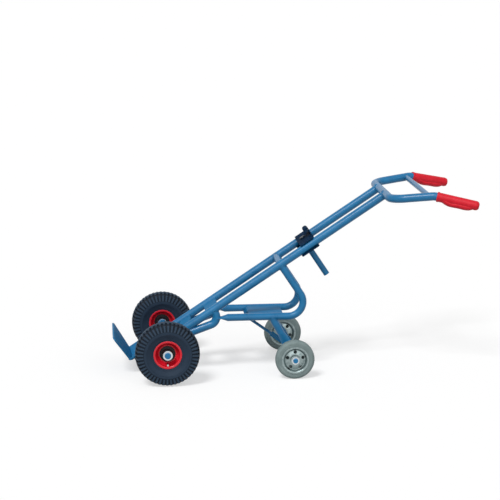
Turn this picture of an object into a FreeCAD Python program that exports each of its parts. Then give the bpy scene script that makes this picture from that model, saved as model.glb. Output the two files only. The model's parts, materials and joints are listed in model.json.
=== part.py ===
import FreeCAD, Part
import math
import os
from FreeCAD import Vector

# A tubular drum trolley, leaning back on two pneumatic wheels and two smaller support wheels.
# Sizes are in millimetres and degrees.
# The frame is modelled on its own axes: X up along the main tubes, Y across, Z towards the load,
# with the origin at the middle of the main axle. The last step leans it back onto the ground.

# Whole trolley
lean_angle = 33.4
wheel_track = 550.0
wheel_base = 520.0
support_track = 460.0
tube_spacing = 170.0
lower_reach = 140.0
handle_reach = 1090.0
overrun = 20.0
weld_gap = 0.05
running_gap = 0.05
side_play = 0.5

# Main tubes, handle bow and axle loops
tube_od = 33.7
tube_wall = 2.6
plug_head = 4.0
plug_depth = 18.0
plug_corner = 2.0
bow_half_width = 223.0
bow_bend = 70.0
bow_splay = 15.0
arm_drop = 27.3
arm_length = 174.0
grip_drop = 45.5
grip_bend = 60.0
crossbar_od = 21.3
crossbar_wall = 2.0
crossbar_reach = 155.0
axle_loop_reach = 236.0
axle_loop_drop = 57.0
axle_loop_bend = 33.0
axle_loop_end = 14.0

# Grips with a finger swell
grip_length = 172.0
grip_setback = 10.0
grip_wall = 2.2
grip_end_wall = 5.0
grip_end_round = 14.0
collar_width = 7.0
collar_height = 1.6
collar_round = 0.7
swell_depth = 8.8
swell_width = 36.0
swell_height = 28.0
swell_sink = 2.5
# Sections of the swell: place along the grip, depth, width and height
swell_shares = (
    (0.11, 0.0, 0.8, 0.8), (0.2, 0.62, 1.04, 1.1), (0.29, 1.0, 1.0, 1.0), (0.5, 1.0, 1.0, 1.0),
    (0.7, 1.0, 1.0, 1.0), (0.79, 0.75, 0.96, 0.96), (0.88, 0.0, 0.8, 0.8),
)

# Plates and cross members of the main frame
load_radius = 295.0
cradle_width = 200.0
cradle_wall = 5.0
cradle_end = -25.0
toe_reach = 157.0
toe_wall = 6.0
toe_tip = 147.0
toe_tip_width = 288.0
toe_corner = 14.0
toe_bevel = 2.5
cross_plate_wall = 6.0
lower_plate_start = 82.0
lower_plate_width = 50.0
middle_plate_start = 203.0
middle_plate_width = 58.0

# Support frame
support_tube_od = 30.0
support_tube_wall = 2.5
support_reach = 572.0
support_run_height = 226.0
support_bend = 60.0
flat_start = 258.0
flat_end = 229.0
flat_thickness = 9.0
flat_width = 32.0
step_plate_front = 350.0
step_plate_back = 488.0
step_plate_rise = 8.0
step_plate_wall = 5.0
step_plate_bend = 7.0
step_lip_reach = 12.0
step_lip_drop = 22.0
leg_setback = 80.0
leg_flat_thickness = 12.0
leg_flat_width = 38.0
leg_flat_length = 46.0
leg_taper = 38.0
leg_eye_od = 42.0
leg_eye_wall = 9.0
brace_od = 12.0
brace_flat_width = 20.0
brace_flat_thickness = 9.0
brace_flat_length = 92.0
brace_eye_od = 32.0

# Axles, washers and retaining rings
axle_od = 25.0
sleeve_od = 33.7
washer_od = 39.0
retainer_od = 36.0
support_axle_od = 20.0
support_sleeve_od = 28.0
support_washer_od = 40.0
support_retainer_od = 31.0
washer_wall = 3.0
retainer_wall = 1.6
axle_stub = 6.0
axle_chamfer = 1.5

# Pneumatic wheels
tyre_od = 260.0
tyre_width = 85.0
tread_depth = 6.0
tyre_wall = 9.0
lug_count = 48
lug_share = 0.5
lug_root_radius = 98.0
lug_rise = 2.0
lug_sink = 2.0
lug_inner_edge = 12.5
crown_rib_half = 7.0
crown_rib_taper = 1.5
bead_radius = 50.0
bead_width = 10.0
rim_width = 58.0
rim_flange_radius = 57.0
rim_wall = 2.5
rim_well_radius = 37.5
rim_well_half = 15.0
rim_bend = 4.0
hub_od = 45.0
hub_bore = 35.0
hub_length = 70.0
hub_flange_od = 64.0
hub_flange_width = 14.0
bearing_length = 24.0
inner_tube_wall = 2.0
valve_od = 6.0
valve_bore_gap = 0.6
valve_cap_od = 7.6
valve_cap_length = 9.0
valve_radius = 43.0
valve_foot = 1.0
valve_tip = 27.0

# Support wheels
support_od = 160.0
support_width = 40.0
support_bead_radius = 52.0
support_round = 7.0
support_band_wall = 2.0
support_band_width = 32.0
disc_wall = 2.0
disc_lip_radius = 55.5
disc_dish_radius = 41.0
disc_dish_face = 8.0
disc_boss_radius = 24.0
disc_boss_face = 14.0
disc_bend = 3.5
disc_hole_count = 5
disc_hole_od = 14.0
disc_hole_radius = 33.0
support_hub_od = 34.0
support_hub_bore = 28.0
support_hub_length = 46.0
support_bearing_length = 18.0

# Hook carriage and its screw clamp
carriage_gap = 0.4
slide_plate_start = 665.0
slide_plate_length = 84.0
slide_plate_width = 208.0
slide_plate_wall = 5.0
slide_plate_corner = 8.0
top_plate_length = 63.0
top_plate_width = 198.0
top_plate_wall = 5.0
hook_wall = 5.0
hook_width = 60.0
hook_top = 55.0
hook_mouth = 13.0
hook_lip = 20.0
hook_bend = 7.5
hook_gusset_drop = 14.0
guide_play = 0.8
stud_od = 10.0
stud_gap = 0.2
stud_head_od = 24.0
stud_head_height = 6.0
stud_length = 72.0
clamp_washer_od = 30.0
clamp_washer_wall = 3.0
clamp_handle_od = 25.0
clamp_handle_wall = 2.5
clamp_handle_length = 138.0
nut_height = 9.0
nut_gap = 0.1

# Directions on the frame's own axes
origin = Vector(0, 0, 0)
along = Vector(1, 0, 0)
across = Vector(0, 1, 0)
outward = Vector(0, 0, 1)
lean = math.radians(lean_angle)
level = Vector(math.cos(lean), 0, -math.sin(lean))
upright = Vector(math.sin(lean), 0, math.cos(lean))
sides = {"left": -1, "right": 1}

tube_radius = tube_od / 2
support_tube_radius = support_tube_od / 2
tube_gap_half = tube_spacing / 2 - tube_radius


def over_ground(reach, offset, height):
    """Point at a level distance from the main axle, a sideways offset and a height over the ground."""
    return level * reach + across * offset + upright * (height - tyre_od / 2)


def corner_arc(before, corner, after, radius):
    """Start, middle and end of the tangent arc that rounds a corner."""
    back = (before - corner).normalize()
    ahead = (after - corner).normalize()
    half = back.getAngle(ahead) / 2
    inward = (back + ahead).normalize()
    setback = radius / math.tan(half)
    middle = corner + inward * (radius / math.sin(half) - radius)
    return corner + back * setback, middle, corner + ahead * setback


def bent_wire(points, radii, closed=False):
    """Straight runs joined by tangent arcs; a radius of zero leaves a sharp corner."""
    stops = []
    arcs = []
    for index, radius in enumerate(radii):
        corner = points[index]
        if radius:
            after = points[(index + 1) % len(points)]
            start, middle, end = corner_arc(points[index - 1], corner, after, radius)
            arcs.append(Part.Arc(start, middle, end).toShape())
            stops.append((start, end))
        else:
            arcs.append(None)
            stops.append((corner, corner))
    edges = []
    for index, (start, end) in enumerate(stops):
        if arcs[index]:
            edges.append(arcs[index])
        if index + 1 < len(stops) or closed:
            nearest = stops[(index + 1) % len(stops)][0]
            edges.append(Part.LineSegment(end, nearest).toShape())
    return Part.Wire(Part.__sortEdges__(edges))


def rod(start, end, diameter):
    """Solid round bar between two points."""
    run = end - start
    return Part.makeCylinder(diameter / 2, run.Length, start, run)


def pipe(points, radii, diameter):
    """Solid round bar along a bent path."""
    path = bent_wire(points, radii)
    section = Part.Face(Part.Wire(Part.makeCircle(diameter / 2, points[0], points[1] - points[0])))
    return path.makePipe(section)


def tube(points, radii, diameter, wall):
    """Hollow tube along a bent path."""
    return pipe(points, radii, diameter).cut(pipe(points, radii, diameter - 2 * wall))


def ring(start, end, diameter, bore):
    """Round sleeve, washer or bush between two points on its axis."""
    run = (end - start).normalize() * overrun
    return rod(start, end, diameter).cut(rod(start - run, end + run, bore))


def flat_section(centre, wide, width, thin, thickness):
    """Round or oval cross-section of a tube that is pressed flat."""
    if width > thickness:
        curve = Part.Ellipse(origin, width / 2, thickness / 2)
    else:
        curve = Part.Circle(origin, outward, width / 2)
    section = Part.Wire(curve.toShape())
    section.Placement = FreeCAD.Placement(centre, FreeCAD.Rotation(wide, thin, wide.cross(thin), "XYZ"))
    return section


def sheet_outline(points, wall, bend, place):
    """Closed outline of a pressed sheet whose middle line runs through flat (x, y) points."""
    turns = []
    offsets = []
    for index, point in enumerate(points):
        before = points[max(index - 1, 0)]
        after = points[min(index + 1, len(points) - 1)]
        first = (point - before) if index > 0 else (after - point)
        second = (after - point) if index + 1 < len(points) else first
        first.normalize()
        second.normalize()
        normal = Vector(-first.y - second.y, first.x + second.x, 0)
        normal.normalize()
        offsets.append(normal * (wall / 2 / (normal.y * first.x - normal.x * first.y)))
        turns.append(math.copysign(1, first.x * second.y - first.y * second.x))
    inner = range(1, len(points) - 1)
    left_radii = [bend - turns[k] * wall / 2 if k in inner else 0 for k in range(len(points))]
    right_radii = [bend + turns[k] * wall / 2 if k in inner else 0 for k in range(len(points))]
    left = [point + offset for point, offset in zip(points, offsets)]
    right = [point - offset for point, offset in zip(points, offsets)]
    outline = [place(point.x, point.y) for point in left + right[::-1]]
    return bent_wire(outline, left_radii + right_radii[::-1], closed=True)


def wheel_place(radius, offset):
    """Point of a wheel's half section: radius from the axle and offset from the middle plane."""
    return Vector(radius, offset, 0)


def turned(wire, angle=360.0):
    """Body turned about the axle from a half section."""
    return Part.Face(wire).revolve(origin, across, angle)


def turned_section(points, radii):
    """Turned body from the corners of its half section, with rounded corners."""
    return turned(bent_wire([wheel_place(r, t) for r, t in points], radii, closed=True))


def on_wheel(shape, side, track, hub):
    """Moves a wheel piece, built with its outer face towards +Y, to its place on the axle."""
    piece = shape.copy()
    if side < 0:
        piece.rotate(origin, upright, 180)
    piece.translate(hub + across * (side * track / 2))
    return piece


def main_tube_bar(side):
    """Full round of a main tube, through the handle bow and past its lower end."""
    offset = across * (side * tube_spacing / 2)
    return rod(offset - along * lower_reach, offset + along * handle_reach, tube_od)


def bow_points():
    """Corner points of the handle bow from the left tip to the right tip."""
    points = {}
    for name, side in sides.items():
        splay = math.radians(bow_splay)
        drops = [math.radians(arm_drop), math.radians(grip_drop)]
        arm, hold = [
            along * (math.cos(splay) * math.cos(drop))
            - outward * (math.cos(splay) * math.sin(drop))
            + across * (side * math.sin(splay))
            for drop in drops
        ]
        corner = along * handle_reach + across * (side * bow_half_width)
        elbow = corner + arm * arm_length
        tip = elbow + hold * (grip_setback + grip_length - grip_end_wall)
        crossing = corner + arm * crossbar_reach
        points[name] = {"corner": corner, "elbow": elbow, "tip": tip, "crossing": crossing, "hold": hold}
    return points


def bow_path():
    """Points and bend radii of the handle bow."""
    left, right = bow_points()["left"], bow_points()["right"]
    path = [left["tip"], left["elbow"], left["corner"], right["corner"], right["elbow"], right["tip"]]
    return path, [0, grip_bend, bow_bend, bow_bend, grip_bend, 0]


def main_tube(side):
    """Straight main tube, coped to the handle bow and bored for the axle."""
    offset = across * (side * tube_spacing / 2)
    bore_od = tube_od - 2 * tube_wall
    bore = rod(offset - along * (lower_reach + overrun), offset + along * handle_reach, bore_od)
    bar = along * handle_reach
    bow_bar = rod(bar - across * bow_half_width, bar + across * bow_half_width, tube_od)
    axle_hole = rod(across * -tube_spacing, across * tube_spacing, axle_od + 2 * weld_gap)
    return main_tube_bar(side).cut(bore).cut(bow_bar).cut(axle_hole)


def tube_plug(side):
    """Push-in plug with a rounded head that closes the lower end of a main tube."""
    base = across * (side * tube_spacing / 2) - along * lower_reach
    head = rod(base - along * plug_head, base, tube_od)
    rim = [edge for edge in head.Edges if edge.BoundBox.XMax < base.x - plug_head / 2]
    head = head.makeFillet(plug_corner, rim[:1])
    shank = rod(base, base + along * plug_depth, tube_od - 2 * tube_wall - 2 * weld_gap)
    return head.fuse(shank)


def handle_bow():
    """Bent handle bow: front bar, two splayed arms and the tube ends inside the grips."""
    path, radii = bow_path()
    return tube(path, radii, tube_od, tube_wall)


def handle_crossbar():
    """Thinner bar between the arms, coped to them."""
    path, radii = bow_path()
    ends = bow_points()
    bar = tube([ends["left"]["crossing"], ends["right"]["crossing"]], [0, 0], crossbar_od, crossbar_wall)
    return bar.cut(pipe(path, radii, tube_od))


def grip_axes(side_name):
    """Start point and directions of a grip: along it, down to its finger swell, and square to both."""
    bow = bow_points()[side_name]
    hold = bow["hold"]
    square = hold.cross(upright).normalize()
    return bow["elbow"] + hold * grip_setback, hold, hold.cross(square).normalize(), square


def finger_swell(side_name, sleeve):
    """Rounded swell under a grip, lofted through oval sections that sink into its sleeve at both ends."""
    start, hold, down, square = grip_axes(side_name)
    sections = []
    for place_share, depth_share, width_share, height_share in swell_shares:
        height = swell_height * height_share
        lowest = sleeve - swell_sink + (swell_depth + swell_sink) * depth_share
        centre = start + hold * (grip_length * place_share) + down * (lowest - height / 2)
        sections.append(flat_section(centre, square, swell_width * width_share, down, height))
    return Part.makeLoft(sections, True)


def grip(side_name):
    """Moulded grip: collar, closed sleeve and a finger swell under it."""
    start, hold, down, square = grip_axes(side_name)
    bore = tube_radius + weld_gap
    sleeve = bore + grip_wall
    collar = sleeve + collar_height
    corners = [
        (0, bore), (0, collar), (collar_width, collar), (collar_width + collar_height, sleeve),
        (grip_length, sleeve), (grip_length, 0), (grip_length - grip_end_wall, 0),
        (grip_length - grip_end_wall, bore),
    ]
    radii = [0, collar_round, collar_round, 0, grip_end_round, 0, 0, 0]
    outline = bent_wire([start + hold * run + down * reach for run, reach in corners], radii, closed=True)
    body = Part.Face(outline).revolve(start, hold, 360)
    core = rod(start, start + hold * grip_length, 2 * bore + grip_wall)
    return body.fuse(finger_swell(side_name, sleeve).cut(core)).removeSplitter()


def axle_loop_path(side):
    """Path of an axle loop: out of the main tube, round and back to the axle."""
    offset = across * (side * tube_spacing / 2)
    corner = along * axle_loop_reach - outward * axle_loop_drop
    end = corner * (axle_loop_end / axle_loop_reach)
    return [offset + along * axle_loop_reach, offset + corner, offset + end], [0, axle_loop_bend, 0]


def axle_loop(side):
    """Bent tube that braces the axle from below, coped along the main tube."""
    path, radii = axle_loop_path(side)
    loop = tube(path, radii, tube_od, tube_wall)
    pieces = loop.cut(main_tube_bar(side)).Solids
    return max(pieces, key=lambda solid: solid.Volume)


def cradle_axis_height():
    """Distance from the tube plane to the axis of the load, with the cradle resting on both tubes."""
    reach = load_radius + cradle_wall + tube_radius + weld_gap
    return math.sqrt(reach**2 - (tube_spacing / 2) ** 2)


def cradle_edge(radius):
    """Distance from the tube plane to a cradle surface of that radius, at the cradle's side edge."""
    return cradle_axis_height() - math.sqrt(radius**2 - (cradle_width / 2) ** 2)


def drum_cradle():
    """Curved plate across the lower tube ends that follows the round of the load."""
    half = cradle_width / 2
    axis = outward * cradle_axis_height()

    def arc(radius):
        edge = outward * cradle_edge(radius)
        lowest = axis - outward * radius
        return Part.Arc(edge - across * half, lowest, edge + across * half).toShape()

    inner, outer = arc(load_radius), arc(load_radius + cradle_wall)
    ends = [
        Part.LineSegment(inner.Vertexes[k].Point, outer.Vertexes[k].Point).toShape() for k in range(2)
    ]
    section = Part.Face(Part.Wire(Part.__sortEdges__([inner, outer] + ends)))
    section.translate(along * -(toe_reach + toe_wall))
    return section.extrude(along * (toe_reach + toe_wall + cradle_end))


def toe_plate():
    """Flat toe inside the end of the cradle, with rounded tips and a bevelled leading edge."""
    half = cradle_width / 2
    inner_radius = load_radius - weld_gap
    base = cradle_edge(inner_radius)
    lowest = outward * (cradle_axis_height() - inner_radius)
    arc = Part.Arc(outward * base - across * half, lowest, outward * base + across * half).toShape()
    tip_half = toe_tip_width / 2
    tips = [
        across * half + outward * base, across * tip_half + outward * toe_tip,
        across * -tip_half + outward * toe_tip, across * -half + outward * base,
    ]
    rim = bent_wire(tips, [0, toe_corner, toe_corner, 0])
    plate = Part.Face(Part.Wire(Part.__sortEdges__(rim.Edges + [arc])))
    plate.translate(along * -(toe_reach + toe_wall))
    plate = plate.extrude(along * toe_wall)
    lead = toe_tip - toe_corner - toe_bevel
    middle = -toe_reach - toe_wall / 2
    leading = [edge for edge in plate.Edges if edge.BoundBox.ZMin > lead and edge.BoundBox.XMin > middle]
    return plate.makeChamfer(toe_bevel, leading)


def cross_plate(start, width):
    """Flat plate between the main tubes, coped to both."""
    plate = Part.makeBox(
        width, tube_spacing, cross_plate_wall, Vector(start, -tube_spacing / 2, -cross_plate_wall / 2)
    )
    for side in sides.values():
        path, radii = axle_loop_path(side)
        plate = plate.cut(main_tube_bar(side)).cut(pipe(path, radii, tube_od))
    return plate


def upper_cross_tube():
    """Short tube between the main tubes where the support loops leave them."""
    middle = along * support_reach
    half = across * (tube_spacing / 2)
    bar = tube([middle - half, middle + half], [0, 0], support_tube_od, support_tube_wall)
    for side in sides.values():
        path, radii = support_loop_path(side)
        bar = bar.cut(main_tube_bar(side)).cut(pipe(path, radii, support_tube_od))
    return bar


def support_loop_path(side):
    """Path of a support loop: square off the main tube, round, then level towards the axle."""
    offset = side * tube_spacing / 2
    top = along * support_reach + across * offset
    fall = (support_run_height - tyre_od / 2 - support_reach * math.sin(lean)) / math.cos(lean)
    front = over_ground(flat_start, offset, support_run_height)
    return [top, top + outward * fall, front], [0, support_bend, 0]


def support_loop(side):
    """Support loop with its front end pressed flat against the axle loop."""
    path, radii = support_loop_path(side)
    offset = side * tube_spacing / 2
    loop = tube(path, radii, support_tube_od, support_tube_wall)
    neck = over_ground(flat_end, offset, support_run_height)
    sections = [
        flat_section(path[-1], across, support_tube_od, upright, support_tube_od),
        flat_section(neck, across, flat_width, upright, flat_thickness),
    ]
    taper = Part.makeLoft(sections, True)
    tongue = Part.Face(sections[-1]).extrude(level * -support_tube_od)
    loop = loop.fuse([taper, tongue])
    bend_path, bend_radii = axle_loop_path(side)
    loop = loop.cut(main_tube_bar(side)).cut(pipe(bend_path, bend_radii, tube_od))
    return max(loop.Solids, key=lambda solid: solid.Volume)


def step_line():
    """Middle line of the step plate in level and upright distances: lip, bend and flat."""
    height = support_run_height + step_plate_rise
    return [
        Vector(step_plate_front - step_lip_reach, height - step_lip_drop, 0),
        Vector(step_plate_front, height, 0), Vector(step_plate_back, height, 0),
    ]


def step_plate():
    """Plate between the two support loops with a lip turned down in front, coped to both loops."""
    top_rise = step_plate_rise + step_plate_wall / 2
    half = tube_spacing / 2 - math.sqrt(support_tube_radius**2 - top_rise**2)

    def place(reach, height):
        return over_ground(reach, -half, height)

    outline = sheet_outline(step_line(), step_plate_wall, step_plate_bend, place)
    plate = Part.Face(outline).extrude(across * (2 * half))
    for side in sides.values():
        path, radii = support_loop_path(side)
        plate = plate.cut(pipe(path, radii, support_tube_od))
    return plate


def support_axle_middle():
    """Middle of the support axle."""
    return over_ground(wheel_base, 0, support_od / 2)


def support_leg(side):
    """Leg from the support loop to the support axle, pressed flat and bored at its foot."""
    offset = side * tube_spacing / 2
    foot = support_axle_middle() + across * offset
    top = over_ground(wheel_base - leg_setback, offset, support_run_height)
    rise = (top - foot).normalize()
    wide = rise.cross(across)
    flat_top = foot + rise * leg_flat_length
    round_foot = flat_top + rise * leg_taper
    sections = [
        flat_section(round_foot, wide, support_tube_od, across, support_tube_od),
        flat_section(flat_top, wide, leg_flat_width, across, leg_flat_thickness),
    ]
    leg = tube([top, round_foot], [0, 0], support_tube_od, support_tube_wall)
    strap = Part.Face(sections[-1]).extrude(rise * -leg_flat_length)
    half_eye = across * (leg_eye_wall / 2)
    eye = rod(foot - half_eye, foot + half_eye, leg_eye_od)
    hole = rod(foot - across * overrun, foot + across * overrun, support_axle_od + 2 * weld_gap)
    path, radii = support_loop_path(side)
    leg = leg.fuse([Part.makeLoft(sections, True), strap, eye]).cut(hole)
    leg = leg.cut(pipe(path, radii, support_tube_od))
    return max(leg.Solids, key=lambda solid: solid.Volume)


def support_brace():
    """Diagonal brace in the middle, from the lip of the step plate to an eye on the support axle."""
    foot = support_axle_middle()
    lip = step_line()[0]
    top = over_ground(lip.x, 0, lip.y)
    rise = (top - foot).normalize()
    wide = rise.cross(across)
    bar = rod(foot + rise * (brace_eye_od / 2), top + rise * step_plate_wall, brace_od)
    corner = foot - wide * (brace_flat_width / 2) - across * (brace_flat_thickness / 2)
    face = Part.Face(Part.makePolygon([
        corner, corner + wide * brace_flat_width,
        corner + wide * brace_flat_width + across * brace_flat_thickness,
        corner + across * brace_flat_thickness, corner,
    ]))
    strap = face.extrude(rise * brace_flat_length)
    half_flat = across * (brace_flat_thickness / 2)
    eye = rod(foot - half_flat, foot + half_flat, brace_eye_od)
    hole = rod(foot - across * overrun, foot + across * overrun, support_axle_od + 2 * weld_gap)
    brace = bar.fuse([strap, eye]).cut(hole).cut(step_plate())
    return max(brace.Solids, key=lambda solid: solid.Volume)


def axle(middle, track, hub_width, od):
    """Plain axle through both wheels, with chamfered ends that stand out of the retaining rings."""
    half = track / 2 + hub_width / 2 + side_play + washer_wall + retainer_wall + axle_stub
    bar = rod(middle - across * half, middle + across * half, od)
    ends = [edge for edge in bar.Edges if abs(edge.BoundBox.YLength) < axle_chamfer]
    return bar.makeChamfer(axle_chamfer, ends)


def axle_rings(middle, track, hub_width, inner_face, od, ring_ods):
    """Spacer sleeves, washers and push-on retaining rings of one axle, in that order."""
    sleeves, washers, retainers = [], [], []
    sleeve, washer, retainer = ring_ods
    bore = od + 2 * weld_gap
    for side in sides.values():
        out = across * side
        hub = middle + out * (track / 2)
        inner_stop = hub - out * (hub_width / 2 + side_play)
        outer_stop = hub + out * (hub_width / 2 + side_play)
        outer_washer = outer_stop + out * washer_wall
        sleeves.append(ring(middle + out * inner_face, inner_stop - out * washer_wall, sleeve, bore))
        washers.append(ring(inner_stop - out * washer_wall, inner_stop, washer, bore))
        washers.append(ring(outer_stop, outer_washer, washer, bore))
        retainers.append(ring(outer_washer, outer_washer + out * retainer_wall, retainer, bore))
    return sleeves, washers, retainers


def carcass():
    """Hollow tyre body between its beads."""
    crown = tyre_od / 2 - tread_depth
    widest = tyre_width / 2
    toe = bead_radius + weld_gap
    heel = rim_width / 2 - rim_wall - weld_gap
    shoulder = widest - tread_depth
    side = (crown + rim_flange_radius) / 2
    lip = rim_flange_radius + rim_wall
    half = [
        (crown, 0), (crown - tread_depth / 3, shoulder / 2), (crown - tread_depth, shoulder),
        (side, widest), (lip, heel), (toe, heel), (toe, heel - bead_width),
        (rim_flange_radius, heel - bead_width),
        (side, widest - tyre_wall), (crown - tread_depth - tyre_wall, shoulder - tyre_wall),
        (crown - tyre_wall, 0),
    ]
    smooth = tyre_wall
    radii = [0, 0, smooth, 2 * smooth, 0, rim_bend, 0, 0, smooth, smooth, 0]
    mirrored = [(r, -t) for r, t in half[1:-1]]
    outline = half[1:-1] + [half[-1]] + mirrored[::-1] + [half[0]]
    corner_radii = radii[1:-1] + [0] + radii[1:-1][::-1] + [0]
    return turned_section(outline, corner_radii)


def lug():
    """One shoulder lug, wrapped over the crown and down the side wall of the tyre."""
    top = tyre_od / 2
    crown = top - tread_depth
    widest = tyre_width / 2
    shoulder = widest - tread_depth
    side = (crown + rim_flange_radius) / 2
    slope = tread_depth / (crown - tread_depth - side)
    root_face = widest - (lug_root_radius - side) * slope
    points = [
        (top, lug_inner_edge), (top - tread_depth / 3, shoulder / 2 + lug_rise),
        (crown - tread_depth / 3, shoulder + lug_rise), (lug_root_radius, root_face + lug_rise),
        (lug_root_radius, root_face - lug_sink), (crown - tread_depth - lug_sink, shoulder - lug_sink),
        (crown - lug_sink - tread_depth / 3, shoulder / 2), (crown - lug_sink, lug_inner_edge),
    ]
    section = bent_wire([wheel_place(r, t) for r, t in points], [0] * len(points), closed=True)
    return turned(section, 360.0 / lug_count * lug_share)


def crown_rib():
    """Unbroken rib round the middle of the tread."""
    top = tyre_od / 2
    root = top - tread_depth - lug_sink
    foot_half = crown_rib_half + crown_rib_taper
    points = [(root, -foot_half), (top, -crown_rib_half), (top, crown_rib_half), (root, foot_half)]
    return turned_section(points, [0] * len(points))


def tyre():
    """Tyre with a crown rib and two rows of shoulder lugs, set half a pitch apart."""
    pitch = 360.0 / lug_count
    raised = [crown_rib()]
    outer_row = lug()
    inner_row = outer_row.mirror(origin, across)
    for index in range(lug_count):
        for row, block in ((0, outer_row), (pitch / 2, inner_row)):
            piece = block.copy()
            piece.rotate(origin, across, index * pitch + row)
            raised.append(piece)
    return carcass().fuse(raised)


def rim_line():
    """Middle line of a pressed rim half: disc, well side, bead seat and flange."""
    seat = bead_radius - rim_wall / 2
    face = rim_width / 2
    return [
        Vector(hub_flange_od / 2 + weld_gap, rim_wall / 2, 0), Vector(rim_well_radius, rim_wall / 2, 0),
        Vector(seat, rim_well_half, 0), Vector(seat, face - rim_wall / 2, 0),
        Vector(rim_flange_radius, face - rim_wall / 2, 0),
    ]


def valve_axis():
    """Point on the middle plane below the hub that the valve stem goes through."""
    return upright * -valve_radius


def rim_half(outer):
    """Pressed rim half; the outer one has the hole for the valve."""
    half = turned(sheet_outline(rim_line(), rim_wall, rim_bend, wheel_place))
    if outer:
        hole = rod(valve_axis(), valve_axis() + across * rim_width, valve_od + 2 * valve_bore_gap)
        return half.cut(hole)
    return half.mirror(origin, across)


def hub():
    """Hub spool: bored tube with a middle flange that carries the rim."""
    half = hub_length / 2
    flange = hub_flange_width / 2
    points = [
        (hub_bore / 2, -half), (hub_od / 2, -half), (hub_od / 2, -flange - rim_wall),
        (hub_flange_od / 2, -flange), (hub_flange_od / 2, flange), (hub_od / 2, flange + rim_wall),
        (hub_od / 2, half), (hub_bore / 2, half),
    ]
    return turned_section(points, [0] * len(points))


def bearings(length, hub_width, od, bore):
    """Two plain roller-cage bushes, one at each end of a hub."""
    inner = od + 2 * running_gap
    bushes = []
    for end in sides.values():
        face = across * (end * hub_width / 2)
        bushes.append(ring(face - across * (end * length), face, bore - 2 * weld_gap, inner))
    return bushes


def inner_tube():
    """Inflated tube in the tyre, with its valve stem and cap through the rim."""
    crown = tyre_od / 2 - tread_depth
    side = (crown + rim_flange_radius) / 2
    room = tyre_wall + 2 * inner_tube_wall
    low = bead_radius + inner_tube_wall
    high = crown - tread_depth - room
    toe = rim_width / 2 - rim_wall - bead_width - 2 * inner_tube_wall
    widest = tyre_width / 2 - room
    reach = widest - tread_depth

    def section(inset):
        half = [(low + inset, toe - inset), (side, widest - inset), (high - inset, reach - inset)]
        corners = half + [(radius, -offset) for radius, offset in half[::-1]]
        return turned_section(corners, [0] * len(corners))

    foot = valve_axis() + across * valve_foot
    tip = valve_axis() + across * valve_tip
    stem = rod(foot, tip, valve_od)
    cap = rod(tip - across * valve_cap_length, tip, valve_cap_od)
    base = foot + across * (valve_od / 2)
    neck = rod(base, base - upright * (low + inner_tube_wall / 2 - valve_radius), valve_od)
    return section(0).fuse([stem, cap, neck]).cut(section(inner_tube_wall))


def support_tyre():
    """Solid rubber tyre with rounded shoulders."""
    half = support_width / 2
    top = support_od / 2
    low = support_bead_radius + weld_gap
    points = [(low, -half), (top, -half), (top, half), (low, half)]
    return turned_section(points, [disc_bend, 2 * support_round, 2 * support_round, disc_bend])


def support_band():
    """Steel band under the support tyre."""
    half = across * (support_band_width / 2)
    return ring(-half, half, 2 * support_bead_radius, 2 * (support_bead_radius - support_band_wall))


def support_discs():
    """The two pressed wheel discs of a support wheel, with rolled lips and a ring of holes."""
    inside = support_bead_radius - support_band_wall - weld_gap - disc_wall / 2
    lip_face = support_width / 2 + weld_gap + disc_wall / 2
    line = [
        Vector(support_hub_od / 2 + weld_gap, disc_boss_face, 0),
        Vector(disc_boss_radius, disc_boss_face, 0), Vector(disc_dish_radius, disc_dish_face, 0),
        Vector(inside, lip_face, 0), Vector(disc_lip_radius, lip_face, 0),
    ]
    disc = turned(sheet_outline(line, disc_wall, disc_bend, wheel_place))
    for index in range(disc_hole_count):
        centre = upright * disc_hole_radius
        hole = rod(centre, centre + across * support_width, disc_hole_od)
        hole.rotate(origin, across, index * 360.0 / disc_hole_count)
        disc = disc.cut(hole)
    return [disc, disc.mirror(origin, across)]


def support_hub():
    """Plain hub tube of a support wheel."""
    half = across * (support_hub_length / 2)
    return ring(-half, half, support_hub_od, support_hub_bore)


def clamp_middle():
    """Point in the tube plane on the axis of the clamp stud."""
    return along * (slide_plate_start + slide_plate_length / 2)


def plate_over_tubes(start, length, width, wall, face, corner):
    """Flat carriage plate with rounded corners, bored for the stud; face is its lower side."""
    half = width / 2
    points = [
        Vector(start, -half, face), Vector(start + length, -half, face),
        Vector(start + length, half, face), Vector(start, half, face),
    ]
    plate = Part.Face(bent_wire(points, [corner] * len(points), closed=True)).extrude(outward * wall)
    stud_room = rod(
        clamp_middle() + outward * (face - overrun), clamp_middle() + outward * (face + wall + overrun),
        stud_od + 2 * stud_gap,
    )
    return plate.cut(stud_room)


def carriage_end():
    """Distance along the tubes to the upper end of the carriage."""
    return slide_plate_start + slide_plate_length


def slide_plate():
    """Clamp plate that slides under both main tubes."""
    face = -(tube_radius + carriage_gap + slide_plate_wall)
    return plate_over_tubes(
        slide_plate_start, slide_plate_length, slide_plate_width, slide_plate_wall, face, slide_plate_corner
    )


def carriage_top_plate():
    """Plate that slides on top of both main tubes and carries the hook."""
    start = carriage_end() - hook_wall - top_plate_length
    face = tube_radius + carriage_gap
    return plate_over_tubes(start, top_plate_length, top_plate_width, top_plate_wall, face, 0)


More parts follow.
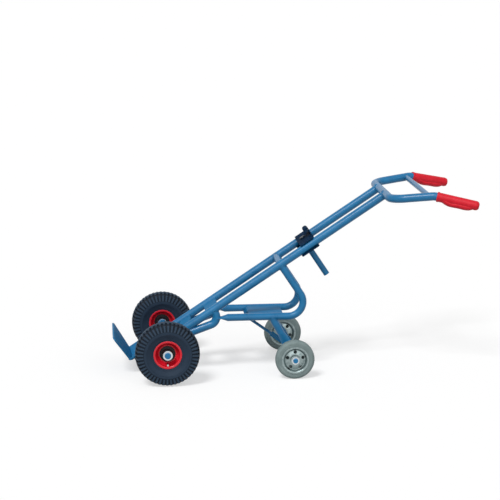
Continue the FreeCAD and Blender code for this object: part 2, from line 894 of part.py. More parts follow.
def hook():
    """Rim hook: a curled plate on tapered shoulders and a wide foot, guided between the main tubes."""

    def place(run, height):
        return Vector(run, -hook_width / 2, height)

    back = carriage_end() - hook_wall / 2
    crest = hook_top - hook_wall / 2
    lip = back - hook_mouth - hook_wall
    line = [
        Vector(back, tube_radius - hook_wall, 0), Vector(back, crest, 0), Vector(lip, crest, 0),
        Vector(lip, crest - hook_lip, 0),
    ]
    curl = Part.Face(sheet_outline(line, hook_wall, hook_bend, place)).extrude(across * hook_width)
    guide_half = tube_gap_half - guide_play
    foot_corner = Vector(carriage_end() - hook_wall, -guide_half, -tube_radius)
    foot = Part.makeBox(hook_wall, 2 * guide_half, 2 * tube_radius, foot_corner)
    shoulder = outward * (hook_top - hook_wall - hook_gusset_drop - tube_radius)
    corners = [
        across * -guide_half, across * guide_half, across * (hook_width / 2) + shoulder,
        across * (-hook_width / 2) + shoulder, across * -guide_half,
    ]
    base = along * (carriage_end() - hook_wall) + outward * tube_radius
    gusset = Part.Face(Part.makePolygon([base + corner for corner in corners])).extrude(along * hook_wall)
    return curl.fuse([foot, gusset]).removeSplitter()


def clamp_stud():
    """Screw stud with a domed head on the top plate."""
    seat = tube_radius + carriage_gap + top_plate_wall
    head_base = clamp_middle() + outward * seat
    head = rod(head_base, head_base + outward * stud_head_height, stud_head_od)
    crown = [edge for edge in head.Edges if edge.BoundBox.ZMin > seat + stud_head_height / 2]
    head = head.makeFillet(stud_head_height / 2, crown[:1])
    return head.fuse(rod(head_base, head_base - outward * stud_length, stud_od))


def clamp_face():
    """Height of the lower side of the slide plate."""
    return -(tube_radius + carriage_gap + slide_plate_wall)


def clamp_washer():
    """Washer between the slide plate and the clamp handle."""
    top = clamp_middle() + outward * clamp_face()
    return ring(top, top - outward * clamp_washer_wall, clamp_washer_od, stud_od + 2 * stud_gap)


def clamp_handle_top():
    """Upper end of the clamp handle."""
    return clamp_middle() + outward * (clamp_face() - clamp_washer_wall - carriage_gap)


def clamp_handle():
    """Tubular turning handle of the screw clamp."""
    top = clamp_handle_top()
    bore = clamp_handle_od - 2 * clamp_handle_wall
    return ring(top, top - outward * clamp_handle_length, clamp_handle_od, bore)


def clamp_nut():
    """Hexagon nut fixed in the upper end of the clamp handle."""
    corner_radius = clamp_handle_od / 2 - clamp_handle_wall - nut_gap
    top = clamp_handle_top()
    corners = []
    for index in range(7):
        angle = math.radians(60 * index)
        corners.append(top + (along * math.cos(angle) + across * math.sin(angle)) * corner_radius)
    nut = Part.Face(Part.makePolygon(corners)).extrude(outward * -nut_height)
    bore = rod(top + outward * overrun, top - outward * (nut_height + overrun), stud_od + 2 * running_gap)
    return nut.cut(bore)


def build():
    """All pieces of the trolley by name, on the frame's own axes."""
    pieces = {
        "toe_plate": toe_plate(),
        "drum_cradle": drum_cradle(),
        "lower_cross_plate": cross_plate(lower_plate_start, lower_plate_width),
        "middle_cross_plate": cross_plate(middle_plate_start, middle_plate_width),
        "upper_cross_tube": upper_cross_tube(),
        "handle_bow": handle_bow(),
        "handle_crossbar": handle_crossbar(),
        "step_plate": step_plate(),
        "support_brace": support_brace(),
        "main_axle": axle(origin, wheel_track, hub_length, axle_od),
        "support_axle": axle(support_axle_middle(), support_track, support_hub_length, support_axle_od),
        "hook": hook(),
        "carriage_top_plate": carriage_top_plate(),
        "slide_plate": slide_plate(),
        "clamp_stud": clamp_stud(),
        "clamp_washer": clamp_washer(),
        "clamp_handle": clamp_handle(),
        "clamp_nut": clamp_nut(),
        "tube_end_plugs": Part.makeCompound([tube_plug(side) for side in sides.values()]),
    }
    main_face = tube_spacing / 2 + tube_radius
    leg_face = tube_spacing / 2 + leg_flat_thickness / 2
    rings = {
        "axle": axle_rings(
            origin, wheel_track, hub_length, main_face, axle_od, (sleeve_od, washer_od, retainer_od)
        ),
        "support": axle_rings(
            support_axle_middle(), support_track, support_hub_length, leg_face, support_axle_od,
            (support_sleeve_od, support_washer_od, support_retainer_od),
        ),
    }
    for name, (sleeves, washers, retainers) in rings.items():
        pieces[name + "_sleeves"] = Part.makeCompound(sleeves)
        pieces[name + "_washers"] = Part.makeCompound(washers)
        pieces[name + "_retaining_rings"] = Part.makeCompound(retainers)
    wheel = {
        "tyre": tyre(),
        "rim_outer_half": rim_half(True),
        "rim_inner_half": rim_half(False),
        "hub": hub(),
        "hub_bearings": Part.makeCompound(bearings(bearing_length, hub_length, axle_od, hub_bore)),
        "inner_tube": inner_tube(),
    }
    support_wheel = {
        "support_tyre": support_tyre(),
        "support_rim_band": support_band(),
        "support_discs": Part.makeCompound(support_discs()),
        "support_hub": support_hub(),
        "support_bearings": Part.makeCompound(
            bearings(support_bearing_length, support_hub_length, support_axle_od, support_hub_bore)
        ),
    }
    for name, side in sides.items():
        pieces["main_tube_" + name] = main_tube(side)
        pieces["axle_loop_" + name] = axle_loop(side)
        pieces["support_loop_" + name] = support_loop(side)
        pieces["support_leg_" + name] = support_leg(side)
        pieces["grip_" + name] = grip(name)
        for piece, shape in wheel.items():
            pieces[piece + "_" + name] = on_wheel(shape, side, wheel_track, origin)
        for piece, shape in support_wheel.items():
            pieces[piece + "_" + name] = on_wheel(shape, side, support_track, support_axle_middle())
    return pieces


def stand(pieces):
    """Leans the frame back onto its wheels, with the origin on the ground below the middle."""
    for shape in pieces.values():
        shape.rotate(origin, across, -lean_angle)
        shape.translate(outward * (tyre_od / 2))
    whole = Part.makeCompound(list(pieces.values())).optimalBoundingBox(False, False)
    for shape in pieces.values():
        shape.translate(along * -whole.Center.x)


pieces = build()
stand(pieces)
os.makedirs("parts", exist_ok=True)
for name, shape in pieces.items():
    shape.exportStep("parts/" + name + ".step")
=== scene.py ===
import json
import math

import bmesh
import bpy
from mathutils import Matrix, Vector


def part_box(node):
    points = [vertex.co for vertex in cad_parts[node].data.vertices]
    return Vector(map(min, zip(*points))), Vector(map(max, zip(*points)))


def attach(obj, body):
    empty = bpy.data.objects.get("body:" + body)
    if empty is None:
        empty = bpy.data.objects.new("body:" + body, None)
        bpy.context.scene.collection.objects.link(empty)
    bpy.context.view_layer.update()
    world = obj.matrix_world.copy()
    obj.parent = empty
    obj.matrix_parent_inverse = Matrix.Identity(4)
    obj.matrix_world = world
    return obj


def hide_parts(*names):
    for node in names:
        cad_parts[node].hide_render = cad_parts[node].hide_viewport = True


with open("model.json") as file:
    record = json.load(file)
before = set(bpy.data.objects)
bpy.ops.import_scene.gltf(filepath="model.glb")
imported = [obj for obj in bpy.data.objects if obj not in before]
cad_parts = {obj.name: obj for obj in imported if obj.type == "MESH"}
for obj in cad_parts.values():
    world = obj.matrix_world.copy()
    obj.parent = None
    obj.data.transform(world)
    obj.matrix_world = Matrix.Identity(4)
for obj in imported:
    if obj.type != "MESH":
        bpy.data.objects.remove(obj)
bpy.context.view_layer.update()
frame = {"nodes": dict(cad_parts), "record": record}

# The trolley's own axes: up along the main tubes, across them, and outward from their upper side
MM = 0.001
LEAN = math.radians(33.4)
ALONG = Vector((math.cos(LEAN), 0, math.sin(LEAN)))
ACROSS = Vector((0, 1, 0))
OUTWARD = Vector((-math.sin(LEAN), 0, math.cos(LEAN)))
LEVEL = Vector((1, 0, 0))
UPRIGHT = Vector((0, 0, 1))
FULL_TURN = 2 * math.pi
SIDES = {"left": -1, "right": 1}


def middle(node):
    """Middle of a CAD node's box."""
    low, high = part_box(node)
    return (low + high) / 2


AXLE = middle("main_axle")
SUPPORT_AXLE = middle("support_axle")
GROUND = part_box("tyre_left")[0].z


def on_frame(run, offset, height):
    """Point on the trolley's own axes, from millimetres along, across and outward."""
    return AXLE + (ALONG * run + ACROSS * offset + OUTWARD * height) * MM


def over_ground(reach, offset, height):
    """Point at millimetres level from the main axle, across it and over the ground."""
    return Vector((AXLE.x + reach * MM, offset * MM, GROUND + height * MM))


# Camera at the photo's angle, for a square picture: its eye in metres, its turns in radians
PICTURE_SIDE = 500
FOCAL_PIXELS = 1661.13
EYE = AXLE + Vector((-0.25376, -6.73622, 1.69935))
YAW = 0.0907107
PITCH = 0.1953002
ROLL = -0.0035181
SENSOR = 36.0
FARTHEST = 200.0

ahead = Vector((
    math.sin(YAW) * math.cos(PITCH), math.cos(YAW) * math.cos(PITCH), -math.sin(PITCH),
))
plain_right = Vector((math.cos(YAW), -math.sin(YAW), 0))
plain_up = plain_right.cross(ahead)
right = plain_right * math.cos(ROLL) + plain_up * math.sin(ROLL)
up = right.cross(ahead)
camera_data = bpy.data.cameras.new("photo_camera")
camera_data.sensor_fit = "HORIZONTAL"
camera_data.sensor_width = SENSOR
camera_data.lens = SENSOR * FOCAL_PIXELS / PICTURE_SIDE
camera_data.clip_end = FARTHEST
camera = bpy.data.objects.new("photo_camera", camera_data)
camera.matrix_world = Matrix.Translation(EYE) @ Matrix((right, up, -ahead)).transposed().to_4x4()
bpy.context.scene.collection.objects.link(camera)
bpy.context.scene.camera = camera
bpy.context.scene.view_settings.view_transform = "Standard"


def hex_colour(code):
    """Linear colour of an sRGB hex value."""
    channels = [int(code[k:k + 2], 16) / 255 for k in (1, 3, 5)]
    linear = [c / 12.92 if c <= 0.04045 else ((c + 0.055) / 1.055) ** 2.4 for c in channels]
    return (*linear, 1.0)


def grain(size):
    """Texture scale for a pattern of that size in millimetres."""
    return 1 / (size * MM)


def feed(tree, node, inputs):
    """Sets or links a node's inputs."""
    for key, value in inputs.items():
        if isinstance(value, bpy.types.NodeSocket):
            tree.links.new(value, node.inputs[key])
        else:
            node.inputs[key].default_value = value


def add(tree, kind, inputs=None, **settings):
    """Adds one shader node with its settings and links."""
    node = tree.nodes.new("ShaderNode" + kind)
    for key, value in settings.items():
        setattr(node, key, value)
    feed(tree, node, inputs or {})
    return node


def start_finish(name, sockets):
    """New material: its tree, its shader with the values that hold all over, and its coordinates."""
    material = bpy.data.materials.new(name)
    material.use_nodes = True
    tree = material.node_tree
    tree.nodes.clear()
    shader = add(tree, "BsdfPrincipled", sockets)
    add(tree, "OutputMaterial", {"Surface": shader.outputs["BSDF"]})
    place = add(tree, "TexCoord").outputs["Object"]
    return material, tree, shader, place


# Most of a noise lies between these two levels.
NOISE_LOW = 0.3
NOISE_HIGH = 0.7


def dress(tree, shader, colour, relief, noise, roughness):
    """Gives a shader its colour, its relief and a roughness that runs between two values with a noise."""
    rough = add(tree, "MapRange", {
        "Value": noise, "From Min": NOISE_LOW, "From Max": NOISE_HIGH,
        "To Min": roughness[0], "To Max": roughness[1],
    })
    feed(tree, shader, {"Base Color": colour, "Roughness": rough.outputs["Result"], "Normal": relief})


# Patterns of a coat, with sizes in millimetres. Its real peel is about 1 mm across and is drawn at 3 mm
# so that it shows.
COAT_IOR = 1.5
COAT_CLOUD = 70.0
COAT_TONE_LEVELS = (0.36, 0.64)
PEEL = 3.0
COAT_EDGE = 0.9
SCUFF = 28.0
SCUFF_SQUEEZE = (1.0, 5.0, 5.0)
SCUFF_LEVELS = (0.66, 0.74)
# Edges turn paler between these turns of their normal, by up to this much: wear with a painted highlight.
EDGE_LEVELS = (0.99, 0.88)
EDGE_WEAR_AND_HIGHLIGHT = 2.4


def coated_steel(name, tones, shine, roughness, peel_depth, scuffs):
    """Cured coat on steel: even colour with a faint orange peel that breaks up its highlights."""
    material, tree, shader, place = start_finish(name, {"IOR": COAT_IOR, "Specular IOR Level": shine})
    drift = add(tree, "TexNoise", {
        "Vector": place, "Scale": grain(COAT_CLOUD), "Detail": 3.0, "Roughness": 0.6,
    })
    colour = add(tree, "ValToRGB", {"Fac": drift.outputs["Fac"]})
    for stop, level, tone in zip(colour.color_ramp.elements, COAT_TONE_LEVELS, tones):
        stop.position = level
        stop.color = hex_colour(tone)
    peel = add(tree, "TexNoise", {"Vector": place, "Scale": grain(PEEL), "Detail": 2.0})
    # The coat pulls back from sharp edges and leaves them softly rounded.
    soft_edge = add(tree, "Bevel", {"Radius": COAT_EDGE * MM}, samples=4)
    relief = add(tree, "Bump", {
        "Height": peel.outputs["Fac"], "Strength": 0.35, "Distance": peel_depth * MM,
        "Normal": soft_edge.outputs["Normal"],
    })
    # Handling marks are short, thin and level, about a hand's width apart.
    run_of_scuff = add(tree, "Mapping", {
        "Vector": place, "Scale": SCUFF_SQUEEZE, "Rotation": (0.0, LEAN, 0.0),
    })
    scuff = add(tree, "TexNoise", {
        "Vector": run_of_scuff.outputs["Vector"], "Scale": grain(SCUFF), "Detail": 6.0,
    })
    worn = add(tree, "MapRange", {
        "Value": scuff.outputs["Fac"], "From Min": SCUFF_LEVELS[0], "From Max": SCUFF_LEVELS[1],
        "To Min": 0.0, "To Max": scuffs,
    })
    # Sharp edges turn paler, by wear and a painted highlight, where the rounded normal turns away from the
    # face, and more in some places.
    face = add(tree, "NewGeometry")
    turned_away = add(tree, "VectorMath", {
        0: soft_edge.outputs["Normal"], 1: face.outputs["Normal"],
    }, operation="DOT_PRODUCT")
    edge = add(tree, "MapRange", {
        "Value": turned_away.outputs["Value"], "From Min": EDGE_LEVELS[0], "From Max": EDGE_LEVELS[1],
        "To Min": 0.0, "To Max": EDGE_WEAR_AND_HIGHLIGHT,
    })
    rubbed_and_highlit_edge = add(tree, "Math", {
        0: edge.outputs["Result"], 1: drift.outputs["Fac"],
    }, operation="MULTIPLY")
    marks = add(tree, "Math", {
        0: worn.outputs["Result"], 1: rubbed_and_highlit_edge.outputs["Value"],
    }, operation="MAXIMUM", use_clamp=True)
    shade = add(tree, "Mix", {
        "Factor": marks.outputs["Value"], "A": colour.outputs["Color"], "B": hex_colour(tones[2]),
    }, data_type="RGBA")
    dress(
        tree, shader, shade.outputs["Result"], relief.outputs["Normal"], drift.outputs["Fac"], roughness
    )
    return material


# Tool marks of a tenth of a millimetre, drawn at 1.5 mm so that they show
TOOL_MARK = 1.5
TOOL_MARK_DEPTH = 0.1


def bare_metal(name, tones, roughness, cloud):
    """Plated, blackened or machined steel: soft clouds that are smoother where they are paler."""
    material, tree, shader, place = start_finish(name, {"Metallic": 1.0})
    drift = add(tree, "TexNoise", {
        "Vector": place, "Scale": grain(cloud), "Detail": 5.0, "Roughness": 0.65,
    })
    colour = add(tree, "ValToRGB", {"Fac": drift.outputs["Fac"]})
    for stop, level, tone in zip(colour.color_ramp.elements, (NOISE_LOW, NOISE_HIGH), tones):
        stop.position = level
        stop.color = hex_colour(tone)
    marks = add(tree, "TexNoise", {"Vector": place, "Scale": grain(TOOL_MARK), "Detail": 2.0})
    relief = add(tree, "Bump", {
        "Height": marks.outputs["Fac"], "Strength": 0.15, "Distance": TOOL_MARK_DEPTH * MM,
    })
    dress(
        tree, shader, colour.outputs["Color"], relief.outputs["Normal"], drift.outputs["Fac"], roughness
    )
    return material


# Patterns of moulded plastic and rubber, with sizes in millimetres
MOULD_IOR = 1.5
MOULD_CLOUD = 25.0
MOULD_TONE_LEVELS = (0.35, 0.65)
SPECK_SHARE = 0.6


def mould_pores(tree, place, pore, depth):
    """Fine pores that a mould leaves: the noise of their specks and the normal of their relief."""
    pores = add(tree, "TexVoronoi", {"Vector": place, "Scale": grain(pore)})
    speck = add(tree, "TexNoise", {"Vector": place, "Scale": grain(pore * SPECK_SHARE), "Detail": 3.0})
    height = add(tree, "Math", {
        0: pores.outputs["Distance"], 1: speck.outputs["Fac"],
    }, operation="ADD")
    relief = add(tree, "Bump", {
        "Height": height.outputs["Value"], "Strength": 0.4, "Distance": depth * MM,
    })
    return speck.outputs["Fac"], relief.outputs["Normal"]


def moulded(name, tones, shine, roughness, pore, depth):
    """Moulded plastic or rubber: a fine pore from the mould and slight clouding of the colour."""
    material, tree, shader, place = start_finish(name, {"IOR": MOULD_IOR, "Specular IOR Level": shine})
    drift = add(tree, "TexNoise", {
        "Vector": place, "Scale": grain(MOULD_CLOUD), "Detail": 4.0, "Roughness": 0.6,
    })
    colour = add(tree, "ValToRGB", {"Fac": drift.outputs["Fac"]})
    for stop, level, tone in zip(colour.color_ramp.elements, MOULD_TONE_LEVELS, tones):
        stop.position = level
        stop.color = hex_colour(tone)
    speck, relief = mould_pores(tree, place, pore, depth)
    dress(tree, shader, colour.outputs["Color"], relief, speck, roughness)
    return material


# The tyre's form that its tones follow, in millimetres: half the track, the slope of its side wall, and the
# heights between which the wall, the crown and the tread's root begin. Its pores are drawn at 2 mm so that
# they show.
TRACK_HALF = 275.0
WALL_SLOPE = 0.218
WALL_RISE = (62.6, 63.6)
CROWN_RISE = (126.0, 129.0)
TREAD_ROOT = (95.0, 98.0)
TYRE_PORE = 2.0
TYRE_PORE_DEPTH = 0.35


def tread_rubber(name, smooth_tones, groove_shade_tone, scuffed_and_highlit_tone, shine, roughness):
    """Moulded tyre rubber: grooves painted deeper black as shade, lugs paler from scuffs and a painted
    highlight.
    """
    material, tree, shader, place = start_finish(name, {"IOR": MOULD_IOR, "Specular IOR Level": shine})
    round_axle = add(tree, "Mapping", {
        "Vector": place, "Location": (-AXLE.x, 0.0, -AXLE.z), "Scale": (1.0, 0.0, 1.0),
    })
    radius = add(tree, "VectorMath", {0: round_axle.outputs["Vector"]}, operation="LENGTH")
    parts = add(tree, "SeparateXYZ", {"Vector": place})
    outboard = add(tree, "Math", {0: parts.outputs["Y"]}, operation="ABSOLUTE")
    beside = add(tree, "Math", {
        0: outboard.outputs["Value"], 1: TRACK_HALF * MM,
    }, operation="SUBTRACT")
    breadth = add(tree, "Math", {0: beside.outputs["Value"]}, operation="ABSOLUTE")
    # Height over the tyre's sloping side wall, then height over its crown
    wall = add(tree, "Math", {
        0: radius.outputs["Value"], 1: WALL_SLOPE, 2: breadth.outputs["Value"],
    }, operation="MULTIPLY_ADD")
    on_wall = add(tree, "MapRange", {
        "Value": wall.outputs["Value"], "From Min": WALL_RISE[0] * MM, "From Max": WALL_RISE[1] * MM,
    })
    on_crown = add(tree, "MapRange", {
        "Value": radius.outputs["Value"], "From Min": CROWN_RISE[0] * MM, "From Max": CROWN_RISE[1] * MM,
    })
    raised = add(tree, "Math", {
        0: on_wall.outputs["Result"], 1: on_crown.outputs["Result"],
    }, operation="MAXIMUM")
    tread = add(tree, "MapRange", {
        "Value": radius.outputs["Value"], "From Min": TREAD_ROOT[0] * MM, "From Max": TREAD_ROOT[1] * MM,
    })
    drift = add(tree, "TexNoise", {
        "Vector": place, "Scale": grain(MOULD_CLOUD), "Detail": 4.0, "Roughness": 0.6,
    })
    smooth = add(tree, "Mix", {
        "Factor": drift.outputs["Fac"],
        "A": hex_colour(smooth_tones[0]), "B": hex_colour(smooth_tones[1]),
    }, data_type="RGBA")
    # Lugs turn paler from scuffs and from a painted highlight; the grooves between them take a painted
    # shade.
    scuffed_and_highlit = add(tree, "Mix", {
        "Factor": drift.outputs["Fac"],
        "A": hex_colour(smooth_tones[1]), "B": hex_colour(scuffed_and_highlit_tone),
    }, data_type="RGBA")
    lugs = add(tree, "Mix", {
        "Factor": raised.outputs["Value"], "A": hex_colour(groove_shade_tone), "B": scuffed_and_highlit.outputs["Result"],
    }, data_type="RGBA")
    colour = add(tree, "Mix", {
        "Factor": tread.outputs["Result"], "A": smooth.outputs["Result"], "B": lugs.outputs["Result"],
    }, data_type="RGBA")
    speck, relief = mould_pores(tree, place, TYRE_PORE, TYRE_PORE_DEPTH)
    dress(tree, shader, colour.outputs["Result"], relief, speck, roughness)
    return material


# Patterns of the solid tyre, with sizes in millimetres, and how far its flow marks show
FLOW_SPECK = 2.5
FLOW_CLOUD = 30.0
FLOW_DEPTH = 0.4
FLOW_TONE_LEVELS = (0.2, 0.8)
FLOW_TONE_SHARE = 0.07
FLOW_HEIGHT_SHARE = 0.2


def radial_rubber(name, tones, shine, roughness, axle, ribs):
    """Solid rubber tyre: grey compound with faint radial flow marks from its mould."""
    material, tree, shader, place = start_finish(name, {"IOR": MOULD_IOR, "Specular IOR Level": shine})
    centred = add(tree, "Mapping", {"Vector": place, "Location": (-axle.x, 0.0, -axle.z)})
    parts = add(tree, "SeparateXYZ", {"Vector": centred.outputs["Vector"]})
    angle = add(tree, "Math", {0: parts.outputs["Z"], 1: parts.outputs["X"]}, operation="ARCTAN2")
    turn = add(tree, "Math", {0: angle.outputs["Value"], 1: float(ribs)}, operation="MULTIPLY")
    wave = add(tree, "Math", {0: turn.outputs["Value"]}, operation="SINE")
    speck = add(tree, "TexNoise", {"Vector": place, "Scale": grain(FLOW_SPECK), "Detail": 4.0})
    drift = add(tree, "TexNoise", {"Vector": place, "Scale": grain(FLOW_CLOUD), "Detail": 4.0})
    rib = add(tree, "Math", {
        0: wave.outputs["Value"], 1: FLOW_TONE_SHARE, 2: drift.outputs["Fac"],
    }, operation="MULTIPLY_ADD")
    colour = add(tree, "ValToRGB", {"Fac": rib.outputs["Value"]})
    for stop, level, tone in zip(colour.color_ramp.elements, FLOW_TONE_LEVELS, tones):
        stop.position = level
        stop.color = hex_colour(tone)
    height = add(tree, "Math", {
        0: wave.outputs["Value"], 1: FLOW_HEIGHT_SHARE, 2: speck.outputs["Fac"],
    }, operation="MULTIPLY_ADD")
    relief = add(tree, "Bump", {
        "Height": height.outputs["Value"], "Strength": 0.35, "Distance": FLOW_DEPTH * MM,
    })
    dress(
        tree, shader, colour.outputs["Color"], relief.outputs["Normal"], speck.outputs["Fac"], roughness
    )
    return material


# Powder coat on the tubes: an even blue with soft highlights
blue_coat = coated_steel(
    "powder_coated_steel_blue", ("#186796", "#1d72a3", "#4a90bb"),
    shine=0.3, roughness=(0.26, 0.36), peel_depth=0.25, scuffs=0.25,
)
# The same coat on the plates, worn duller by rubbing, its edges paler from wear and a painted highlight
rubbed_coat = coated_steel(
    "rubbed_powder_coated_steel_blue", ("#186796", "#1d72a3", "#6797b5"),
    shine=0.12, roughness=(0.46, 0.64), peel_depth=0.25, scuffs=0.4,
)
# Dip coat on the carriage: a blue-black with hardly any shine
black_coat = coated_steel(
    "dip_coated_steel_black", ("#081d33", "#0d2a47", "#2c4a66"),
    shine=0.015, roughness=(0.58, 0.72), peel_depth=0.2, scuffs=0.3,
)
# Stove enamel on the rims: a smooth, clear red with sharp highlights
red_enamel = coated_steel(
    "stove_enamelled_steel_red", ("#cc1223", "#da1e30", "#e86a74"),
    shine=0.4, roughness=(0.2, 0.28), peel_depth=0.15, scuffs=0.12,
)
# Paint on the hubs: nearly black and half matt
dark_enamel = coated_steel(
    "painted_hub_steel", ("#0a0b0e", "#101216", "#33373d"),
    shine=0.2, roughness=(0.42, 0.55), peel_depth=0.2, scuffs=0.25,
)
# Bright zinc: a pale, bluish metal that mirrors softly
zinc = bare_metal(
    "bright_zinc_plated_steel", ("#b4bbbf", "#d6dadc"), roughness=(0.38, 0.22), cloud=14.0
)
# Passivated pressings: the same metal, greyer and less clear
dull_zinc = bare_metal(
    "passivated_pressed_steel", ("#738283", "#9ba8a8"), roughness=(0.46, 0.3), cloud=10.0
)
# Blackened bolts: a dark metal with a dull glint
blackened_steel = bare_metal(
    "blackened_bolt_steel", ("#1d242b", "#303941"), roughness=(0.48, 0.34), cloud=8.0
)
# Machined bearings: a plain grey metal
cage_steel = bare_metal(
    "machined_bearing_steel", ("#7f8589", "#a3a8ab"), roughness=(0.4, 0.25), cloud=6.0
)
# Moulded PVC on the grips: a dense red with a soft sheen
red_pvc = moulded(
    "moulded_pvc_red", ("#c61324", "#d41c2f"), shine=0.24, roughness=(0.36, 0.5), pore=1.8, depth=0.2
)
# Moulded polyethylene in the tube ends: a waxy black
plug_plastic = moulded(
    "moulded_polyethylene_black", ("#0e0f11", "#17181b"),
    shine=0.3, roughness=(0.4, 0.55), pore=1.5, depth=0.15,
)
# Vulcanised tyres: a matt blue-black, with painted shade between the lugs and a painted highlight with
# scuffs on them
tyre_rubber = tread_rubber(
    "vulcanised_tyre_rubber", ("#222f3e", "#2b3a4b"), groove_shade_tone="#141d28", scuffed_and_highlit_tone="#364656",
    shine=0.12, roughness=(0.5, 0.68),
)
# Butyl inner tubes: a smooth black
tube_rubber = moulded(
    "butyl_rubber", ("#101214", "#191b1e"), shine=0.3, roughness=(0.5, 0.65), pore=1.5, depth=0.1
)
# Solid support tyres: a matt grey with faint rays
grey_rubber = radial_rubber(
    "solid_grey_rubber", ("#697979", "#808f8f"),
    shine=0.35, roughness=(0.6, 0.8), axle=SUPPORT_AXLE, ribs=72,
)

FINISH_OF_SLOT = {
    "frame_blue": blue_coat,
    "plug_black": plug_plastic,
    "zinc": zinc,
    "carriage_black": black_coat,
    "grip_red": red_pvc,
    "tyre_black": tyre_rubber,
    "tube_rubber": tube_rubber,
    "rim_red": red_enamel,
    "hub_dark": dark_enamel,
    "bearing_cage": cage_steel,
    "support_tyre_grey": grey_rubber,
}
FINISH_OF_NODE = {
    "support_discs_left": dull_zinc,
    "support_discs_right": dull_zinc,
    "support_rim_band_left": dull_zinc,
    "support_rim_band_right": dull_zinc,
    "support_washers": dull_zinc,
    "toe_plate": rubbed_coat,
    "drum_cradle": rubbed_coat,
    "step_plate": rubbed_coat,
    "lower_cross_plate": rubbed_coat,
    "middle_cross_plate": rubbed_coat,
    "clamp_stud": blackened_steel,
    "clamp_washer": blackened_steel,
}
for row in frame["record"]["subparts"]:
    finishes = frame["nodes"][row["node"]].data.materials
    finishes.clear()
    finishes.append(FINISH_OF_NODE.get(row["node"], FINISH_OF_SLOT[row["material_slot"]]))


def new_piece(name, mesh, finish, body):
    """Names a finished mesh, gives it its material and sets it on its body."""
    mesh.name = name
    mesh.materials.clear()
    mesh.materials.append(finish)
    item = bpy.data.objects.new(name, mesh)
    bpy.context.scene.collection.objects.link(item)
    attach(item, body)
    return item


def smooth_faces(mesh):
    """Shades a mesh smoothly."""
    for face in mesh.polygons:
        face.use_smooth = True


def mesh_of(name, shape):
    """Mesh of a finished bmesh."""
    mesh = bpy.data.meshes.new(name)
    shape.to_mesh(mesh)
    shape.free()
    return mesh


# Weld beads, with sizes in millimetres, and the longest step between neighbouring points of one run
BEAD_RADIUS = 2.2
BEAD_STEP = 2.2
BEAD_RIPPLE_SHARE = 0.16
RING_RAYS = 96
FEWEST_POINTS = 4
LONGEST_STEP = 12.0
LONGEST_SLANTED_STEP = 30.0


def land(node, start, direction, reach):
    """Point where a ray lands on a CAD node, or None."""
    found, point, _, _ = frame["nodes"][node].ray_cast(start, direction, distance=reach * MM)
    return point if found else None


def runs_of(points, longest):
    """Splits a ring of landed points at its gaps into runs of neighbouring points."""
    breaks = [
        k for k, point in enumerate(points)
        if point is None or points[k - 1] is None or (point - points[k - 1]).length > longest * MM
    ]
    if not breaks:
        return [points + points[:1]]
    runs = []
    run = []
    for point in points[breaks[0]:] + points[:breaks[0]]:
        if point is None or (run and (point - run[-1]).length > longest * MM):
            runs.append(run)
            run = []
        if point is not None:
            run.append(point)
    runs.append(run)
    return [run for run in runs if len(run) >= FEWEST_POINTS]


def even_steps(run, step):
    """Points at even steps along a run."""
    out = [run[0]]
    left_over = 0.0
    for before, after in zip(run, run[1:]):
        length = (after - before).length
        travelled = step * MM - left_over
        while travelled <= length:
            out.append(before.lerp(after, travelled / length))
            travelled += step * MM
        left_over = length - (travelled - step * MM)
    return out


def bead_mesh(name, runs):
    """Rippled weld beads along runs of points."""
    curve = bpy.data.curves.new(name, "CURVE")
    curve.dimensions = "3D"
    curve.bevel_depth = BEAD_RADIUS * MM
    curve.bevel_resolution = 2
    curve.use_fill_caps = True
    for run in runs:
        stops = even_steps(run, BEAD_STEP / 2)
        spline = curve.splines.new("POLY")
        spline.points.add(len(stops) - 1)
        for index, (stop, point) in enumerate(zip(stops, spline.points)):
            point.co = (*stop, 1.0)
            point.radius = 1 + BEAD_RIPPLE_SHARE * (1 if index % 2 else -1)
    item = bpy.data.objects.new(name, curve)
    bpy.context.scene.collection.objects.link(item)
    depsgraph = bpy.context.evaluated_depsgraph_get()
    mesh = bpy.data.meshes.new_from_object(item.evaluated_get(depsgraph))
    bpy.data.objects.remove(item)
    bpy.data.curves.remove(curve)
    smooth_faces(mesh)
    return mesh


def ring_weld(node, reach, start, direction, wide, half_width, half_height, longest=LONGEST_STEP):
    """Runs of a weld where a tube's end, round or pressed oval, lands on another piece."""
    thin = direction.cross(wide).normalized()
    turns = [FULL_TURN * k / RING_RAYS for k in range(RING_RAYS)]
    ring = [
        start + (wide * (math.cos(t) * half_width) + thin * (math.sin(t) * half_height)) * MM
        for t in turns
    ]
    return runs_of([land(node, point, direction, reach) for point in ring], longest)


def straight_weld(start, end):
    """Run of a weld along a straight edge."""
    return [start, start.lerp(end, 0.5), end]


# Radii and half sizes of what is welded, in millimetres
TUBE = 33.7 / 2
SUPPORT_TUBE = 15.0
CROSSBAR = 21.3 / 2
BRACE = 6.0
TONGUE_HALVES = (16.0, 4.5)
AXLE_SEAM = 13.0
SUPPORT_AXLE_SEAM = 10.6
PLATE_HALF = 3.0
LOAD_RADIUS = 295.0
CRADLE_WALL = 5.0
CRADLE_HALF = 100.0
SEAM_SIDE = 6.5

# Places of the welds on the frame, in millimetres
TUBE_OFFSET = 85.0
HANDLE_REACH = 1090.0
SUPPORT_REACH = 572.0
SUPPORT_HEIGHT = 226.0
AXLE_LOOP_REACH = 236.0
AXLE_LOOP_DROP = 57.0
TONGUE_REACH = 240.0
PLATE_RUNS = ((82.0, 132.0), (203.0, 261.0))
STEP_RUN = (350.0, 488.0)
STEP_FACES = (5.5, 10.5)
STEP_LIP = (338.0, 212.0)
LEG_TOP = 440.0
CRADLE_RUNS = ((-158.0, -120.0), (-105.0, -75.0), (-60.0, -28.0))
TOE_FACE = -163.0
TOE_STEPS = 20
HOOK_FACE = 744.0
HOOK_SEAM_HALF = 54.0
TOP_PLATE_FACE = 22.25

